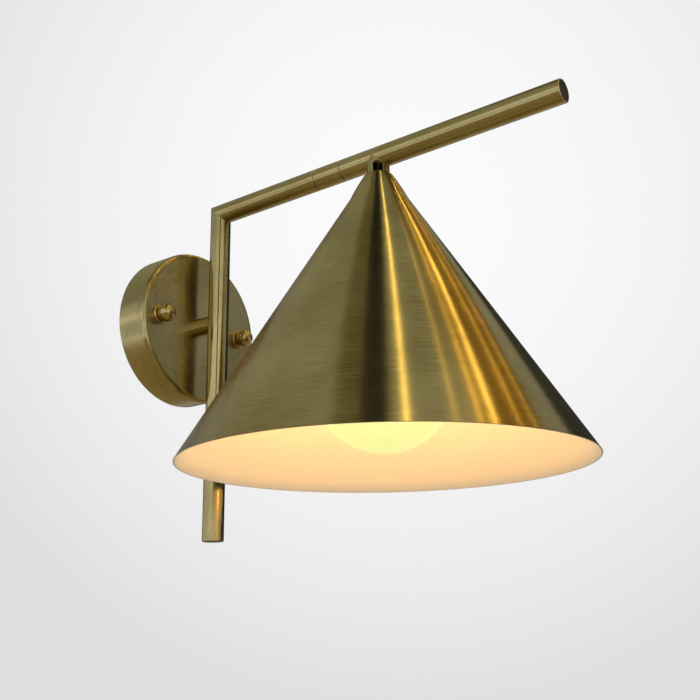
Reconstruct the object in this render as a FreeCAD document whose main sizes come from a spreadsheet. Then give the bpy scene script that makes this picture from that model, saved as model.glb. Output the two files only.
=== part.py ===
"""Cone-shade wall sconce in brushed brass: canopy, mitred tube frame, swivelling arm, spun shade, globe bulb.

Frame: origin at the centre of the canopy's back, on the wall. +Z is up, -Y points out into the room, +X is
right for someone facing the wall. Millimetres.
"""
import FreeCAD, Part

import math
import os

import Sketcher
from FreeCAD import Placement, Rotation, Vector

# ---------------------------------------------------------------- driving dimensions, in mm and degrees
DIMENSIONS = {
    # tube frame
    "tube_r": 8.0,
    "tube_wall": 1.0,
    "upright_out": 45.0,  # upright axis to the wall
    "arm_height": 91.5,  # arm axis above the canopy centre
    "upright_drop": 168.0,  # canopy centre to the upright's lower end
    "arm_reach": 342.0,  # wall to the arm's free end
    "edge_chamfer": 0.4,
    # canopy
    "canopy_r": 60.0,
    "canopy_deep": 27.0,
    "canopy_wall": 1.2,
    "canopy_round": 3.5,
    "stud_out": 42.5,  # stud to the canopy centre
    "stud_r": 2.0,
    "stud_hole_r": 2.4,
    # cap nuts
    "nut_ball_r": 6.6,
    "nut_base_r": 5.2,
    "nut_base_high": 4.0,
    # stem between canopy and upright
    "stem_r": 7.0,
    "nipple_r": 5.0,
    "nipple_bore_r": 3.5,
    "nipple_nut_r": 8.0,  # across the corners, halved
    "nipple_nut_thick": 4.0,
    "nipple_spare": 3.0,
    "boss_bore_r": 4.0,
    "boss_half": 9.0,
    # wall bracket
    "bracket_thick": 2.0,
    "bracket_half": 52.0,
    "bracket_wide": 20.0,
    "bracket_rise": 6.0,
    "bracket_flat_half": 32.0,
    "slot_out": 20.0,
    "slot_long": 12.0,
    "slot_r": 2.25,
    "bend_shift": 0.8,  # the strip's front line turns this much sooner at each bend
    "tongue_half": 9.0,  # tongue that carries the terminal block
    "tongue_low": 36.0,
    "tongue_high": 9.0,
    "earth_right": 8.5,
    "earth_r": 2.0,
    "earth_head_r": 3.8,
    "earth_head_high": 2.6,
    # terminal block
    "block_half": 11.0,
    "block_low": 35.0,
    "block_high": 20.0,
    "block_deep": 12.0,
    "block_screw_low": 28.5,
    "block_screw_r": 1.5,
    "block_head_r": 3.0,
    "block_head_high": 2.0,
    "block_sink": 4.0,  # the block screw's head sits this far below the block's face
    "way_out": 6.5,
    "way_r": 1.9,
    "way_deep": 8.0,
    "clamp_low": 27.5,
    "clamp_r": 2.0,
    "clamp_deep": 3.0,
    # end plugs
    "plug_sunk": 0.4,
    "plug_thick": 1.6,
    "plug_deep": 9.0,
    "plug_wall": 1.5,
    # swivel
    "collar_start": 146.0,  # wall to the first seam
    "collar_long": 24.0,
    "seam_gap": 0.4,
    "spigot_r": 4.0,
    "spigot_bore_r": 2.75,
    "spigot_start": 128.0,
    "bush_long": 13.0,
    "run_clear": 0.05,
    "stop_pin_r": 0.8,
    "stop_pin_out": 5.55,
    "stop_groove_deep": 2.5,
    "stop_land_deg": 10.0,
    "stop_pin_held": 5.0,  # length of the pin inside the collar
    "stop_pin_spare": 0.3,  # gap between the pin's end and the groove's floor
    "stop_side_gap": 0.12,
    "wave_thick": 0.7,
    "swivel_nut_r": 6.3,
    "swivel_nut_thick": 3.5,
    "spigot_spare": 6.0,  # the spigot stands this far out of the bush
    # shade
    "shade_out": 200.0,  # wall to the shade's axis
    "shade_apex": 91.0,  # height where the cone's sides would meet
    "shade_r": 136.0,
    "shade_low": 128.5,  # canopy centre down to the rim
    "shade_top": 78.2,
    "shoulder_r": 11.4,  # the shade's top is rounded out to here
    "shoulder_high": 74.9,
    "shoulder_bend": 6.7,
    "blend_high": 57.2,  # the straight cone starts here
    "blend_bend": 175.0,
    "shade_wall": 1.0,
    "neck_slot_r": 3.5,
    "neck_slot_high": 86.0,
    "neck_slot_turn": 32.0,  # from -X towards the arm's free end
    "neck_slot_round": 1.5,
    "tee_bore_r": 3.2,
    "tee_half": 10.0,
    "shade_washer_r": 6.8,
    "shade_nut_r": 7.4,
    # lampholder
    "holder_r": 19.5,
    "holder_top": 58.0,
    "holder_mouth": 2.0,
    "holder_bore_r": 15.6,
    "holder_cap_high": 16.0,
    "holder_dome_high": 10.0,
    "holder_dome_bend": 13.0,
    "base_high": 6.0,
    "contact_r": 2.3,
    "shell_r": 14.2,
    # bulb
    "globe_r": 47.5,
    "globe_low": 73.0,  # canopy centre down to the globe's centre
    "glass_wall": 1.2,
    "glass_shoulder_r": 22.0,  # the ball turns into the neck here
    "glass_neck_r": 15.0,
    "glass_neck_low": 18.0,  # holder's mouth down to the neck's end
    "screw_cap_r": 13.2,
    "screw_cap_wall": 0.6,
    "screw_cap_low": 1.0,
    "screw_cap_high": 21.0,
    "insulator_high": 23.0,
    "insulator_top_r": 4.5,
    "tip_r": 4.0,
    # lead
    "lead_r": 2.2,
    "lead_bend": 4.5,
    "lead_start_low": 20.0,
    "lead_entry": 13.0,  # inside of the canopy's face back to the lead's first bend
    "lead_meet": 8.0,  # end of the bush out to where the two leads meet
}

doc = FreeCAD.newDocument("wall_sconce")
sheet = doc.addObject("Spreadsheet::Sheet", "Dims")
for row, (alias, value) in enumerate(DIMENSIONS.items(), start=1):
    sheet.set(f"A{row}", alias)
    sheet.set(f"B{row}", str(value))
    sheet.setAlias(f"B{row}", alias)
doc.recompute()


class Size:
    """A length that knows its number and the sheet expression that gives it."""

    def __init__(self, value, text):
        self.value = float(value)
        self.text = text

    def _join(self, other, sign, result):
        return Size(result, f"({self.text} {sign} {as_size(other).text})")

    def __add__(self, other):
        return self._join(other, "+", self.value + as_size(other).value)

    def __sub__(self, other):
        return self._join(other, "-", self.value - as_size(other).value)

    def __mul__(self, other):
        return self._join(other, "*", self.value * as_size(other).value)

    def __truediv__(self, other):
        return self._join(other, "/", self.value / as_size(other).value)

    def __rsub__(self, other):
        return as_size(other) - self

    def __neg__(self):
        return Size(-self.value, f"(-1 * {self.text})")


def as_size(value):
    return value if isinstance(value, Size) else Size(value, repr(float(value)))


class Dims:
    """Every cell of the sheet as an attribute."""

    def __init__(self):
        for alias in DIMENSIONS:
            setattr(self, alias, Size(sheet.get(alias), f"Dims.{alias}"))


d = Dims()
arm_in_r = d.tube_r - d.tube_wall
collar_end = d.collar_start + d.collar_long
arm_start = collar_end + d.seam_gap
bush_end = arm_start + d.bush_long
cone_slope = d.shade_r / (d.shade_apex + d.shade_low)  # tangent of the cone's half angle

SUB_PARTS = []

# Turning a body's own Z axis onto -Y puts its height out from the wall; its own Y axis then points up.
OUT_FROM_WALL = Rotation(Vector(1, 0, 0), 90)
UPRIGHT = Rotation()
EARTH_SPOT = (d.earth_right, 0.0)
BLOCK_SPOT = (0.0, -d.block_screw_low)


# ---------------------------------------------------------------- sketch and feature helpers
def bind(thing, path, size):
    """Binds one property of an object to the sheet."""
    thing.setExpression(path, as_size(size).text)


def place(thing, rotation=UPRIGHT, x=0.0, y=0.0, z=0.0):
    """Turns an object and binds its position to the sheet."""
    sizes = [as_size(v) for v in (x, y, z)]
    thing.Placement = Placement(Vector(*[s.value for s in sizes]), rotation)
    for axis, size in zip("xyz", sizes):
        bind(thing, f".Placement.Base.{axis}", size)
    return thing


def sub_part(thing, label):
    """Names an object as one piece of the sconce."""
    thing.Label = label
    SUB_PARTS.append(thing)
    return thing


def new_body(label):
    body = doc.addObject("PartDesign::Body", "Body_" + label)
    return sub_part(body, label)


def origin_plane(body, role):
    for feature in body.Origin.OriginFeatures:
        if feature.Role == role:
            return feature
    raise ValueError(f"no origin plane {role}")


def new_sketch(body, role, turn=None, lift=0.0):
    """A sketch on one of the body's origin planes, turned in or lifted off it."""
    sketch = body.newObject("Sketcher::SketchObject", body.Name + "_sketch")
    sketch.AttachmentSupport = [(origin_plane(body, role), "")]
    sketch.MapMode = "FlatFace"
    height = as_size(lift)
    sketch.AttachmentOffset = Placement(Vector(0, 0, height.value), turn or Rotation())
    if height.value:
        bind(sketch, ".AttachmentOffset.Base.z", height)
    return sketch


def fix_point(sketch, geometry, point, x, y):
    """Ties a point of the sketch to the sheet by its distances from the origin."""
    for kind, axis, size in (("DistanceX", -2, x), ("DistanceY", -1, y)):
        if abs(size.value) < 1e-9:
            sketch.addConstraint(Sketcher.Constraint("PointOnObject", geometry, point, axis))
            continue
        index = sketch.addConstraint(Sketcher.Constraint(kind, -1, 1, geometry, point, size.value))
        bind(sketch, f"Constraints[{index}]", size)


def arc_through(start, end, radius, side):
    """The short arc from start to end; side is +1 where it bulges to the left of that direction."""
    chord = end - start
    middle = (start + end) / 2
    left = Vector(-chord.y, chord.x, 0).normalize()
    sagitta = radius - math.sqrt(max(radius**2 - (chord.Length / 2) ** 2, 0.0))
    return Part.Arc(start, middle + left * side * sagitta, end)


def outline(sketch, points):
    """A closed outline. A point is (x, y), or (x, y, radius, side) where an arc leads to it."""
    ends = [(as_size(p[0]), as_size(p[1])) for p in points]
    spots = [Vector(x.value, y.value, 0) for x, y in ends]
    first = sketch.GeometryCount
    for n, point in enumerate(points):
        start, end = spots[n - 1], spots[n]
        if len(point) == 4:
            sketch.addGeometry(arc_through(start, end, as_size(point[2]).value, point[3]), False)
        else:
            sketch.addGeometry(Part.LineSegment(start, end), False)
    for n, point in enumerate(points):
        here = first + n
        following = first + (n + 1) % len(points)
        end_point = end_of(sketch, here, spots[n])
        start_point = end_of(sketch, following, spots[n])
        sketch.addConstraint(Sketcher.Constraint("Coincident", here, end_point, following, start_point))
        fix_point(sketch, here, end_point, *ends[n])
        if len(point) == 4:
            radius = as_size(point[2])
            index = sketch.addConstraint(Sketcher.Constraint("Radius", here, radius.value))
            bind(sketch, f"Constraints[{index}]", radius)
    return sketch


def end_of(sketch, geometry, spot):
    """1 or 2: which end of a line or arc lies at the spot."""
    at_start = sketch.getPoint(geometry, 1).distanceToPoint(spot)
    at_end = sketch.getPoint(geometry, 2).distanceToPoint(spot)
    return 1 if at_start < at_end else 2


def circle(sketch, radius, x=0.0, y=0.0):
    """A circle tied to the sheet by its centre and radius."""
    radius, x, y = as_size(radius), as_size(x), as_size(y)
    whole = Part.Circle(Vector(x.value, y.value, 0), Vector(0, 0, 1), radius.value)
    index = sketch.addGeometry(whole, False)
    fix_point(sketch, index, 3, x, y)
    constraint = sketch.addConstraint(Sketcher.Constraint("Radius", index, radius.value))
    bind(sketch, f"Constraints[{constraint}]", radius)
    return sketch


def turned(body, points):
    """Revolves an outline, given as (radius, height), about the body's own Z axis."""
    sketch = outline(new_sketch(body, "XZ_Plane"), points)
    feature = body.newObject("PartDesign::Revolution", body.Name + "_turned")
    feature.Profile = sketch
    feature.ReferenceAxis = (sketch, ["V_Axis"])
    feature.Angle = 360.0
    return body


def padded(body, sketch, length, both_ways=False):
    feature = body.newObject("PartDesign::Pad", body.Name + "_pad")
    feature.Profile = sketch
    feature.Length = as_size(length).value
    feature.Midplane = both_ways
    bind(feature, "Length", length)
    return body


def cut_away(body, sketch, depth=None, reverse=False):
    """A pocket right through in both directions, or to a depth in one. It has to remove material."""
    doc.recompute()
    before = body.Shape.Volume
    feature = body.newObject("PartDesign::Pocket", body.Name + "_pocket")
    feature.Profile = sketch
    if depth is None:
        feature.Type = "ThroughAll"
        feature.Midplane = True
    else:
        feature.Length = as_size(depth).value
        bind(feature, "Length", depth)
        feature.Reversed = reverse
    doc.recompute()
    if body.Shape.Volume > before - 1e-3:
        raise RuntimeError(f"a cut in {body.Label} removes nothing")
    return body


def round_edges(body, radius, wanted, kind="Fillet"):
    """Rounds or chamfers the edges of the body that the test picks."""
    doc.recompute()
    base = body.Tip
    names = [f"Edge{n}" for n, edge in enumerate(base.Shape.Edges, start=1) if wanted(edge)]
    feature = body.newObject("PartDesign::" + kind, body.Name + "_" + kind.lower())
    feature.Base = (base, names)
    if kind == "Fillet":
        feature.Radius = as_size(radius).value
        bind(feature, "Radius", radius)
    else:
        feature.Size = as_size(radius).value
        bind(feature, "Size", radius)
    doc.recompute()
    return body


def ring_edge(radius, height):
    """A test for the full circle of that radius at that height in the body's own frame."""

    def wanted(edge):
        curve = edge.Curve
        return (
            isinstance(curve, Part.Circle)
            and abs(curve.Radius - as_size(radius).value) < 1e-4
            and abs(curve.Center.z - as_size(height).value) < 1e-4
        )

    return wanted


def ring(body, outer, inner, low, high):
    """A plain ring or washer."""
    return turned(body, [(inner, low), (outer, low), (outer, high), (inner, high)])


def rod(body, radius, low, high):
    """A plain solid rod."""
    return turned(body, [(0.0, low), (radius, low), (radius, high), (0.0, high)])


def hex_nut(label, corner_r, bore_r, thick, rotation, x=0.0, y=0.0, z=0.0):
    """A hexagon nut from a prism with its bore cut out."""
    prism = doc.addObject("Part::Prism", label + "_prism")
    prism.Polygon = 6
    bind(prism, "Circumradius", corner_r)
    bind(prism, "Height", thick)
    bore = doc.addObject("Part::Cylinder", label + "_bore")
    bind(bore, "Radius", bore_r)
    bind(bore, "Height", thick)
    nut = doc.addObject("Part::Cut", label)
    nut.Base = prism
    nut.Tool = bore
    place(nut, rotation, x, y, z)
    return sub_part(nut, label)


# ---------------------------------------------------------------- wall side
def wall_bracket():
    """Bent steel strip: flat against the wall, its ends raised so that the stud heads fit behind."""
    body = new_body("wall_bracket")
    half, flat, rise, thick = d.bracket_half, d.bracket_flat_half, d.bracket_rise, d.bracket_thick
    ramp = flat + rise
    back = [(-half, rise), (-ramp, rise), (-flat, 0.0), (flat, 0.0), (ramp, rise), (half, rise)]
    inner_flat, inner_ramp = flat - d.bend_shift, ramp - d.bend_shift
    front = [(half, rise + thick), (inner_ramp, rise + thick), (inner_flat, thick)]
    front += [(-inner_flat, thick), (-inner_ramp, rise + thick), (-half, rise + thick)]
    padded(body, outline(new_sketch(body, "XZ_Plane"), back + front), d.bracket_wide, both_ways=True)
    tongue = new_sketch(body, "XY_Plane")
    side, low, high = d.tongue_half, -d.tongue_low, -d.tongue_high
    outline(tongue, [(-side, low), (side, low), (side, high), (-side, high)])
    padded(body, tongue, d.bracket_thick)
    slots = new_sketch(body, "XY_Plane")
    for side in (-1, 1):
        end = (d.slot_long / 2 - d.slot_r) * side
        near, far = d.slot_out * side - end, d.slot_out * side + end
        # the slot's straight middle; its round ends are cut next
        outline(slots, [(near, -d.slot_r), (far, -d.slot_r), (far, d.slot_r), (near, d.slot_r)])
    cut_away(body, slots)
    for side in (-1, 1):
        for end in (-1, 1):
            ends = new_sketch(body, "XY_Plane")
            circle(ends, d.slot_r, d.slot_out * side + (d.slot_long / 2 - d.slot_r) * end)
            cut_away(body, ends)
    taps = new_sketch(body, "XY_Plane")
    for side in (-1, 1):
        circle(taps, d.stud_r, d.stud_out * side)
    circle(taps, d.earth_r, *EARTH_SPOT)
    circle(taps, d.block_screw_r, *BLOCK_SPOT)
    cut_away(body, taps)
    place(body, OUT_FROM_WALL)


def pan_screw(label, radius, head_r, head_high, seat, spot):
    """A plain screw from the wall up to its seat, with its head above the seat."""
    body = new_body(label)
    top = seat + head_high
    turned(body, [(0.0, 0.0), (radius, 0.0), (radius, seat), (head_r, seat), (head_r, top), (0.0, top)])
    x, z = spot
    place(body, OUT_FROM_WALL, x=x, z=z)


def bracket_studs():
    """Two M4 screws, heads behind the bracket's raised ends, that carry the canopy."""
    head_r, head_high = d.stud_r * 1.9, d.stud_r * 1.3
    tip = d.canopy_deep + d.nut_base_high + 3.0
    screws = []
    for side, name in ((-1, "left"), (1, "right")):
        shank = doc.addObject("Part::Cylinder", f"stud_shank_{name}")
        bind(shank, "Radius", d.stud_r)
        bind(shank, "Height", tip - d.bracket_rise)
        head = doc.addObject("Part::Cylinder", f"stud_head_{name}")
        bind(head, "Radius", head_r)
        bind(head, "Height", head_high)
        place(shank, OUT_FROM_WALL, d.stud_out * side, -d.bracket_rise)
        place(head, OUT_FROM_WALL, d.stud_out * side, head_high - d.bracket_rise)
        screw = doc.addObject("Part::Fuse", f"stud_{name}")
        screw.Base = shank
        screw.Tool = head
        screws.append(screw)
    sub_part(group_of("bracket_studs_pair", screws), "bracket_studs")


def group_of(name, members):
    """Identical fasteners kept together as one piece of separate solids."""
    group = doc.addObject("Part::Compound", name)
    group.Links = members
    return group


def canopy():
    """Spun brass cup with a softly rounded front edge, one hole for the nipple and two for the studs."""
    body = new_body("canopy")
    r, deep, wall = d.canopy_r, d.canopy_deep, d.canopy_wall
    cup = [(r - wall, 0.0), (r, 0.0), (r, deep), (0.0, deep), (0.0, deep - wall), (r - wall, deep - wall)]
    turned(body, cup)
    round_edges(body, d.canopy_round, ring_edge(r, deep))
    round_edges(body, d.canopy_round - wall, ring_edge(r - wall, deep - wall))
    holes = new_sketch(body, "XY_Plane")
    circle(holes, d.nipple_r)
    for side in (-1, 1):
        circle(holes, d.stud_hole_r, d.stud_out * side)
    cut_away(body, holes)
    place(body, OUT_FROM_WALL)


def cap_nuts():
    """Ball nuts on short round bases, blind-bored for the studs."""
    nuts = []
    ball_high = d.nut_base_high + d.nut_ball_r * 0.75
    for side, name in ((-1, "left"), (1, "right")):
        base = doc.addObject("Part::Cylinder", f"nut_base_{name}")
        bind(base, "Radius", d.nut_base_r)
        bind(base, "Height", ball_high)
        ball = doc.addObject("Part::Sphere", f"nut_ball_{name}")
        bind(ball, "Radius", d.nut_ball_r)
        bind(ball, ".Placement.Base.z", ball_high)
        bore = doc.addObject("Part::Cylinder", f"nut_bore_{name}")
        bind(bore, "Radius", d.stud_r)
        bind(bore, "Height", d.nut_base_high + 3.0)
        outer = doc.addObject("Part::Fuse", f"nut_outer_{name}")
        outer.Base = base
        outer.Tool = ball
        nut = doc.addObject("Part::Cut", f"nut_{name}")
        nut.Base = outer
        nut.Tool = bore
        nuts.append(place(nut, OUT_FROM_WALL, d.stud_out * side, -d.canopy_deep))
    sub_part(group_of("cap_nuts_pair", nuts), "cap_nuts")


def stem():
    """Sleeve, hollow nipple, washer and nut that hold the upright off the canopy."""
    sleeve = new_body("stem_sleeve")
    ring(sleeve, d.stem_r, d.nipple_r, d.canopy_deep, d.upright_out)
    saddle = circle(new_sketch(sleeve, "XZ_Plane"), d.tube_r, 0.0, d.upright_out)
    cut_away(sleeve, saddle)
    place(sleeve, OUT_FROM_WALL)

    face_inside = d.canopy_deep - d.canopy_wall
    washer_low = face_inside - 1.0
    nut_low = washer_low - d.nipple_nut_thick
    nipple = new_body("stem_nipple")
    ring(nipple, d.nipple_r, d.nipple_bore_r, nut_low - d.nipple_spare, d.upright_out - d.boss_bore_r)
    place(nipple, OUT_FROM_WALL)

    washer = new_body("stem_washer")
    ring(washer, d.nipple_nut_r, d.nipple_r, washer_low, face_inside)
    place(washer, OUT_FROM_WALL)
    hex_nut("stem_nut", d.nipple_nut_r, d.nipple_r, d.nipple_nut_thick, OUT_FROM_WALL, y=-nut_low)


def terminal_block():
    """Two-way screw terminal on the bracket's tongue, held by one screw, and the bracket's earth screw."""
    body = new_body("terminal_block")
    block = new_sketch(body, "XY_Plane", lift=d.bracket_thick)
    side, low, high = d.block_half, -d.block_low, -d.block_high
    outline(block, [(-side, low), (side, low), (side, high), (-side, high)])
    padded(body, block, d.block_deep)
    face = d.bracket_thick + d.block_deep
    ways = new_sketch(body, "XZ_Plane")
    clamps = new_sketch(body, "XY_Plane", lift=face)
    for way in (-d.way_out, d.way_out):
        circle(ways, d.way_r, way, d.way_deep)
        circle(clamps, d.clamp_r, way, -d.clamp_low)
    cut_away(body, ways)
    cut_away(body, clamps, d.clamp_deep)
    middle = new_sketch(body, "XY_Plane", lift=face)
    circle(middle, d.block_head_r, *BLOCK_SPOT)
    cut_away(body, middle, d.block_sink)
    through = circle(new_sketch(body, "XY_Plane"), d.block_screw_r, *BLOCK_SPOT)
    cut_away(body, through)
    place(body, OUT_FROM_WALL)
    seat = face - d.block_sink
    pan_screw("block_screw", d.block_screw_r, d.block_head_r, d.block_head_high, seat, BLOCK_SPOT)
    pan_screw("earth_screw", d.earth_r, d.earth_head_r, d.earth_head_high, d.bracket_thick, EARTH_SPOT)


# ---------------------------------------------------------------- frame
def upright_tube():
    """Upright of the frame: brass tube, mitred at the top, with a side hole for the nipple."""
    body = new_body("upright_tube")
    ring(body, d.tube_r, arm_in_r, -d.upright_drop, d.arm_height + d.tube_r)
    round_edges(body, d.edge_chamfer, ring_edge(d.tube_r, -d.upright_drop), "Chamfer")
    cutter = new_sketch(body, "YZ_Plane")
    reach = d.tube_r * 2
    top = d.arm_height
    outline(cutter, [(-reach, top - reach), (reach, top + reach), (-reach, top + reach)])
    cut_away(body, cutter)
    side_hole = circle(new_sketch(body, "XZ_Plane"), d.nipple_r)
    cut_away(body, side_hole, d.tube_r * 2)
    place(body, UPRIGHT, y=-d.upright_out)


def arm_stub():
    """Fixed start of the arm: the tube from the mitre to the first seam."""
    body = new_body("arm_stub")
    ring(body, d.tube_r, arm_in_r, -d.tube_r, d.collar_start - d.upright_out)
    front = ring_edge(d.tube_r, d.collar_start - d.upright_out)
    round_edges(body, d.edge_chamfer, front, "Chamfer")
    cutter = new_sketch(body, "YZ_Plane")
    reach = d.tube_r * 2
    outline(cutter, [(-reach, reach), (-reach, -reach), (reach, -reach)])
    cut_away(body, cutter)
    place(body, OUT_FROM_WALL, y=-d.upright_out, z=d.arm_height)


def upright_boss():
    """Insert inside the upright that the nipple screws into, bored for the lead."""
    body = new_body("upright_boss")
    ring(body, arm_in_r, d.boss_bore_r, -d.boss_half, d.boss_half)
    side_hole = circle(new_sketch(body, "XZ_Plane"), d.nipple_r)
    cut_away(body, side_hole, d.tube_r * 2)
    place(body, UPRIGHT, y=-d.upright_out)


def end_plug(label, rotation, **where):
    """Push-in cup plug that closes a tube's open end, set a little inside it."""
    body = new_body(label)
    sunk, deep, r = d.plug_sunk, d.plug_deep, arm_in_r
    inner = r - d.plug_wall
    floor = sunk + d.plug_thick
    turned(body, [(0.0, sunk), (r, sunk), (r, deep), (inner, deep), (inner, floor), (0.0, floor)])
    place(body, rotation, **where)


# ---------------------------------------------------------------- swivel
def swivel():
    """The arm turns on a hollow spigot; a pin in the collar, in the bush's groove, stops the turn."""
    insert = new_body("swivel_insert")
    ring(insert, arm_in_r, d.spigot_r, d.spigot_start, d.collar_start)
    place(insert, OUT_FROM_WALL, z=d.arm_height)

    spigot = new_body("swivel_spigot")
    spigot_end = bush_end + d.spigot_spare
    ring(spigot, d.spigot_r, d.spigot_bore_r, d.spigot_start, spigot_end)
    place(spigot, OUT_FROM_WALL, z=d.arm_height)

    collar = new_body("swivel_collar")
    first, last = d.collar_start + d.seam_gap, collar_end
    ring(collar, d.tube_r, d.spigot_r, first, last)
    round_edges(collar, d.edge_chamfer, ring_edge(d.tube_r, first), "Chamfer")
    round_edges(collar, d.edge_chamfer, ring_edge(d.tube_r, last), "Chamfer")
    pin_hole = circle(new_sketch(collar, "XY_Plane", lift=last), d.stop_pin_r, 0.0, d.stop_pin_out)
    cut_away(collar, pin_hole, d.stop_pin_held)
    place(collar, OUT_FROM_WALL, z=d.arm_height)

    seam = new_body("seam_washer")
    ring(seam, arm_in_r - 0.5, d.spigot_r, d.collar_start, first)
    place(seam, OUT_FROM_WALL, z=d.arm_height)

    pin = new_body("stop_pin")
    sketch = new_sketch(pin, "XY_Plane", lift=last - d.stop_pin_held)
    circle(sketch, d.stop_pin_r, 0.0, d.stop_pin_out)
    padded(pin, sketch, d.stop_pin_held + d.seam_gap + d.stop_groove_deep - d.stop_pin_spare)
    place(pin, OUT_FROM_WALL, z=d.arm_height)

    bush = new_body("swivel_bush")
    ring(bush, arm_in_r, d.spigot_r + d.run_clear, arm_start, bush_end)
    groove = new_sketch(bush, "XY_Plane", lift=arm_start)
    stop_groove_outline(groove)
    cut_away(bush, groove, d.stop_groove_deep, reverse=True)
    place(bush, OUT_FROM_WALL, z=d.arm_height)

    wave = new_body("spring_washer")
    wave_low = bush_end + d.run_clear * 2
    nut_low = wave_low + d.wave_thick
    ring(wave, d.swivel_nut_r - 0.5, d.spigot_r, wave_low, nut_low)
    place(wave, OUT_FROM_WALL, z=d.arm_height)
    spot = {"y": -nut_low, "z": d.arm_height}
    hex_nut("swivel_nut", d.swivel_nut_r, d.spigot_r, d.swivel_nut_thick, OUT_FROM_WALL, **spot)


def stop_groove_outline(sketch):
    """Ring groove in the bush's face, left whole over a narrow land opposite the pin."""
    half_wide = d.stop_pin_r.value + d.stop_side_gap.value
    middle = d.stop_pin_out.value
    half_land = math.radians(d.stop_land_deg.value) / 2
    start, end = -math.pi / 2 + half_land, 3 * math.pi / 2 - half_land
    rings = []
    for radius in (middle - half_wide, middle + half_wide):
        whole = Part.Circle(Vector(0, 0, 0), Vector(0, 0, 1), radius)
        rings.append(sketch.addGeometry(Part.ArcOfCircle(whole, start, end), False))
    inner, outer = rings
    for point in (1, 2):
        a, b = sketch.getPoint(inner, point), sketch.getPoint(outer, point)
        line = sketch.addGeometry(Part.LineSegment(a, b), False)
        sketch.addConstraint(Sketcher.Constraint("Coincident", inner, point, line, 1))
        sketch.addConstraint(Sketcher.Constraint("Coincident", outer, point, line, 2))
    return sketch


# ---------------------------------------------------------------- turning arm and shade
def arm_tube():
    """Outer arm that carries the shade, open at its free end until the plug goes in."""
    body = new_body("arm_tube")
    ring(body, d.tube_r, arm_in_r, arm_start, d.arm_reach)
    round_edges(body, d.edge_chamfer, ring_edge(d.tube_r, arm_start), "Chamfer")
    round_edges(body, d.edge_chamfer, ring_edge(d.tube_r, d.arm_reach), "Chamfer")
    hole = circle(new_sketch(body, "XZ_Plane"), d.nipple_r, 0.0, d.shade_out)
    cut_away(body, hole, d.tube_r * 2, reverse=True)
    place(body, OUT_FROM_WALL, z=d.arm_height)


def tee_block():
    """Brass block inside the arm: the neck's nipple screws into it and the lead turns down through it."""
    body = new_body("tee_block")
    ring(body, arm_in_r, d.tee_bore_r, d.shade_out - d.tee_half, d.shade_out + d.tee_half)
    hole = circle(new_sketch(body, "XZ_Plane"), d.nipple_r, 0.0, d.shade_out)
    cut_away(body, hole, d.tube_r * 2, reverse=True)
    place(body, OUT_FROM_WALL, z=d.arm_height)


def shade_neck():
    """Short tube coped to the arm, slotted at one side so the lead can be drawn through."""
    body = new_body("shade_neck")
    ring(body, d.tube_r, arm_in_r, d.shade_top, d.arm_height)
    saddle = circle(new_sketch(body, "XZ_Plane"), d.tube_r, 0.0, d.arm_height)
    cut_away(body, saddle)
    turn = Rotation(Vector(0, 1, 0), -90 + d.neck_slot_turn.value)
    slot = new_sketch(body, "XZ_Plane", turn=turn)
    low, high, w, bend = d.shade_top - 1.0, d.neck_slot_high, d.neck_slot_r, d.neck_slot_round
    side, corner = high - bend, w - bend
    right_side = [(w, low), (w, side), (corner, high, bend, 1)]
    left_side = [(-corner, high), (-w, side, bend, 1), (-w, low)]
    outline(slot, right_side + left_side)
    cut_away(body, slot, d.tube_r + 2.0, reverse=True)
    place(body, UPRIGHT, y=-d.shade_out)


def cone_radius(height, inset=0.0):
    """Radius of the cone's outside at a height, less an inset measured across the wall."""
    along = (d.shade_apex - height) * cone_slope
    slant = math.hypot(1.0, cone_slope.value)
    return along - as_size(inset) * slant


def shade():
    """Spun cone: small flat top, rounded shoulder, straight side and a plain edge at the mouth."""
    body = new_body("shade")
    wall, top, rim = d.shade_wall, d.shade_top, -d.shade_low
    shoulder_r, shoulder, blend = d.shoulder_r, d.shoulder_high, d.blend_high
    outside = [
        (d.nipple_r, top),
        (d.tube_r, top),
        (shoulder_r, shoulder, d.shoulder_bend, 1),
        (cone_radius(blend), blend, d.blend_bend, 1),
        (cone_radius(rim), rim),
    ]
    inside = [
        (cone_radius(rim, wall), rim),
        (cone_radius(blend - wall, wall), blend - wall),
        (shoulder_r - wall * 0.9, shoulder - wall * 0.4, d.blend_bend - wall, -1),
        (d.tube_r - wall * 0.4, top - wall, d.shoulder_bend - wall, -1),
        (d.nipple_r, top - wall),
    ]
    turned(body, outside + inside)
    place(body, UPRIGHT, y=-d.shade_out)


def neck_hardware():
    """Nipple from the tee block to the lampholder, with the washer and nut that clamp the shade."""
    nipple = new_body("neck_nipple")
    ring(nipple, d.nipple_r, d.nipple_bore_r, d.holder_top - 6.0, d.arm_height - 4.5)
    place(nipple, UPRIGHT, y=-d.shade_out)
    under = d.shade_top - d.shade_wall
    washer = new_body("shade_washer")
    ring(washer, d.shade_washer_r, d.nipple_r, under - 1.0, under)
    place(washer, UPRIGHT, y=-d.shade_out)
    spot = {"y": -d.shade_out, "z": under - 1.0 - d.nipple_nut_thick}
    hex_nut("shade_nut", d.shade_nut_r, d.nipple_r, d.nipple_nut_thick, UPRIGHT, **spot)


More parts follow.
